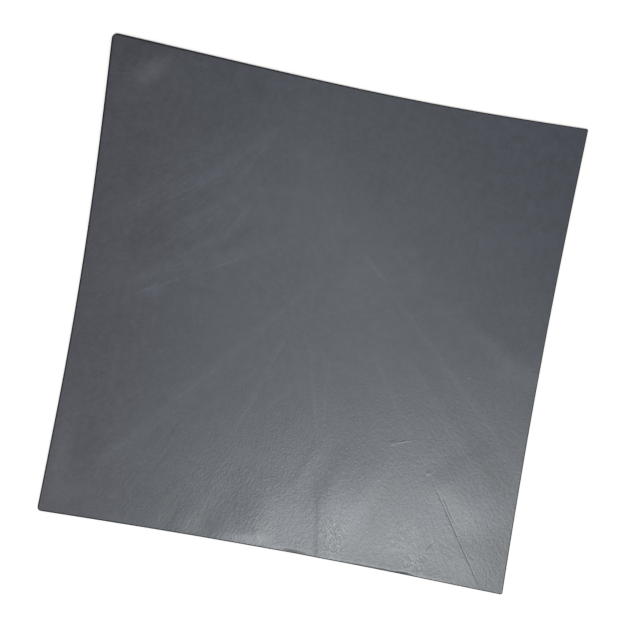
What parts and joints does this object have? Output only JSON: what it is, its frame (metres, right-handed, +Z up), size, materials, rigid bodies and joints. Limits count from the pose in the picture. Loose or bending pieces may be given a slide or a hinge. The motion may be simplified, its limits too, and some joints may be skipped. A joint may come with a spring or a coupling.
{
  "type": "thermal pad sheet",
  "caption": "Flat square sheet of soft grey filled silicone, laid between a hot component and its heatsink to carry heat across the gap.",
  "frame": {"origin": "middle of the sheet's bounding box, on the face that it lies on", "axes": "+Z up through the thickness, +X along the far edge from its left end to its right end, +Y from the near edge to the far edge"},
  "size_m": [0.1518, 0.1524, 0.0012],
  "materials": {
    "pad_silicone": "satin, dark slate grey, with fine rub marks"
  },
  "bodies": {
    "root": {"thermal_pad": "pad_silicone"}
  },
  "joints": []
}
